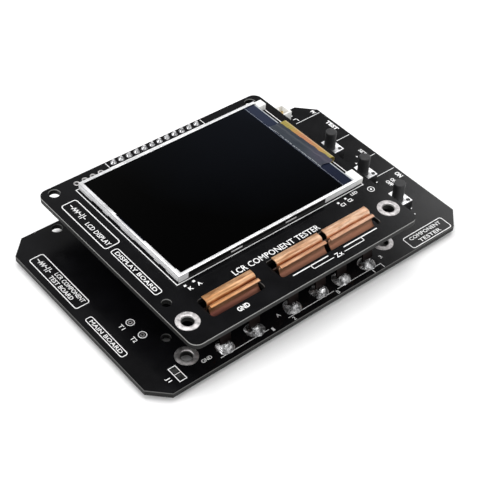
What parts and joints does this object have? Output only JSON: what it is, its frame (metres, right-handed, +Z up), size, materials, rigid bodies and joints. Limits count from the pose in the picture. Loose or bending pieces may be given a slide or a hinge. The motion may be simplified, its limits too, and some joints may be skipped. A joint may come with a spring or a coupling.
{
  "type": "component tester",
  "caption": "Open-board component tester: a main board with tall push switches and spring test clips, and a plug-on display board with a small screen.",
  "frame": {"origin": "bottom centre of the whole object, on the plane of the solder tails", "axes": "+X along the long front edge to the right, +Y to the header edge, +Z up through the screen"},
  "size_m": [0.105, 0.0654, 0.0175],
  "materials": {
    "black_plastic": "moulded black",
    "ceramic_tan": "fired ceramic",
    "chip_package": "moulded epoxy",
    "circuit_board": "semi-gloss black solder mask",
    "copper_alloy": "polished copper alloy",
    "ferrite": "sintered ferrite",
    "flex_film": "orange film with copper tracks",
    "gold_pin": "thin gold plate",
    "plated_metal": "bright tin plate",
    "resistor_black": "glazed film",
    "screen_glass": "polished glass over a dark layer",
    "screen_polariser": "glossy black film",
    "screen_steel": "bright stainless sheet",
    "silicon": "bare chip",
    "solder": "shiny solder",
    "stem_plastic": "moulded black, satin",
    "switch_plastic": "moulded black",
    "switch_plate": "stamped steel",
    "tape": "double-sided foam tape",
    "white_plastic": "moulded white"
  },
  "bodies": {
    "base": {"analogue_switch": "chip_package", "analogue_switch_leads": "plated_metal", "board_solder_joints": "solder", "ceramic_capacitors": "ceramic_tan", "clip_solder_joints": "solder", "clip_tabs": "copper_alloy", "crystal": "plated_metal", "main_board": "circuit_board", "main_board_rings": "plated_metal", "microcontroller": "chip_package", "microcontroller_leads": "plated_metal", "op_amp_leads": "plated_metal", "op_amps": "chip_package", "power_connector_housing": "white_plastic", "power_connector_pins": "gold_pin", "power_inductor": "ferrite", "resistors": "resistor_black", "socket_contacts": "gold_pin", "socket_housing": "black_plastic", "switch_back_cover": "switch_plate", "switch_back_dome": "plated_metal", "switch_back_housing": "switch_plastic", "switch_back_terminals": "plated_metal", "switch_front_cover": "switch_plate", "switch_front_dome": "plated_metal", "switch_front_housing": "switch_plastic", "switch_front_terminals": "plated_metal", "switch_middle_cover": "switch_plate", "switch_middle_dome": "plated_metal", "switch_middle_housing": "switch_plastic", "switch_middle_terminals": "plated_metal", "voltage_regulator": "chip_package"},
    "display": {"display_board": "circuit_board", "display_board_rings": "plated_metal", "header_pins": "gold_pin", "header_solder_joints": "solder", "header_strip": "black_plastic", "screen_backlight": "white_plastic", "screen_chip_film": "tape", "screen_driver_chip": "silicon", "screen_flex_cable": "flex_film", "screen_frame": "screen_steel", "screen_front_glass": "screen_glass", "screen_polariser": "screen_polariser", "screen_rear_glass": "screen_glass", "screen_tape": "tape"},
    "button_front": {"switch_front_stem": "stem_plastic"},
    "button_middle": {"switch_middle_stem": "stem_plastic"},
    "button_back": {"switch_back_stem": "stem_plastic"},
    "ground_front_leaf": {"ground_clip_front_leaf": "copper_alloy"},
    "ground_back_leaf": {"ground_clip_back_leaf": "copper_alloy"},
    "left_front_leaf": {"left_clip_front_leaf": "copper_alloy"},
    "left_back_leaf": {"left_clip_back_leaf": "copper_alloy"},
    "right_front_leaf": {"right_clip_front_leaf": "copper_alloy"},
    "right_back_leaf": {"right_clip_back_leaf": "copper_alloy"}
  },
  "joints": [
    {"name": "display_lift", "type": "slide", "parent": "base", "child": "display", "axis": [0, 0, 1], "range_m": [0, 0.0085]},
    {"name": "front_button_press", "type": "slide", "parent": "base", "child": "button_front", "axis": [0, 0, -1], "range_m": [0, 0.00025], "stiffness_N_per_m": 4000, "deforming": ["switch_front_dome"]},
    {"name": "middle_button_press", "type": "slide", "parent": "base", "child": "button_middle", "axis": [0, 0, -1], "range_m": [0, 0.00025], "stiffness_N_per_m": 4000, "deforming": ["switch_middle_dome"]},
    {"name": "back_button_press", "type": "slide", "parent": "base", "child": "button_back", "axis": [0, 0, -1], "range_m": [0, 0.00025], "stiffness_N_per_m": 4000, "deforming": ["switch_back_dome"]},
    {"name": "ground_front_leaf_flex", "type": "hinge", "parent": "base", "child": "ground_front_leaf", "pos_m": [-0.02445, -0.0286, 0.00465], "axis": [1, 0, 0], "range_deg": [0, 3], "stiffness_Nm_per_rad": 0.06},
    {"name": "ground_back_leaf_flex", "type": "hinge", "parent": "base", "child": "ground_back_leaf", "pos_m": [-0.02445, -0.0211, 0.00465], "axis": [-1, 0, 0], "range_deg": [0, 3], "stiffness_Nm_per_rad": 0.06},
    {"name": "left_front_leaf_flex", "type": "hinge", "parent": "base", "child": "left_front_leaf", "pos_m": [-0.0027, -0.0286, 0.00465], "axis": [1, 0, 0], "range_deg": [0, 3], "stiffness_Nm_per_rad": 0.06},
    {"name": "left_back_leaf_flex", "type": "hinge", "parent": "base", "child": "left_back_leaf", "pos_m": [-0.0027, -0.0211, 0.00465], "axis": [-1, 0, 0], "range_deg": [0, 3], "stiffness_Nm_per_rad": 0.06},
    {"name": "right_front_leaf_flex", "type": "hinge", "parent": "base", "child": "right_front_leaf", "pos_m": [0.0138, -0.0286, 0.00465], "axis": [1, 0, 0], "range_deg": [0, 3], "stiffness_Nm_per_rad": 0.06},
    {"name": "right_back_leaf_flex", "type": "hinge", "parent": "base", "child": "right_back_leaf", "pos_m": [0.0138, -0.0211, 0.00465], "axis": [-1, 0, 0], "range_deg": [0, 3], "stiffness_Nm_per_rad": 0.06}
  ]
}
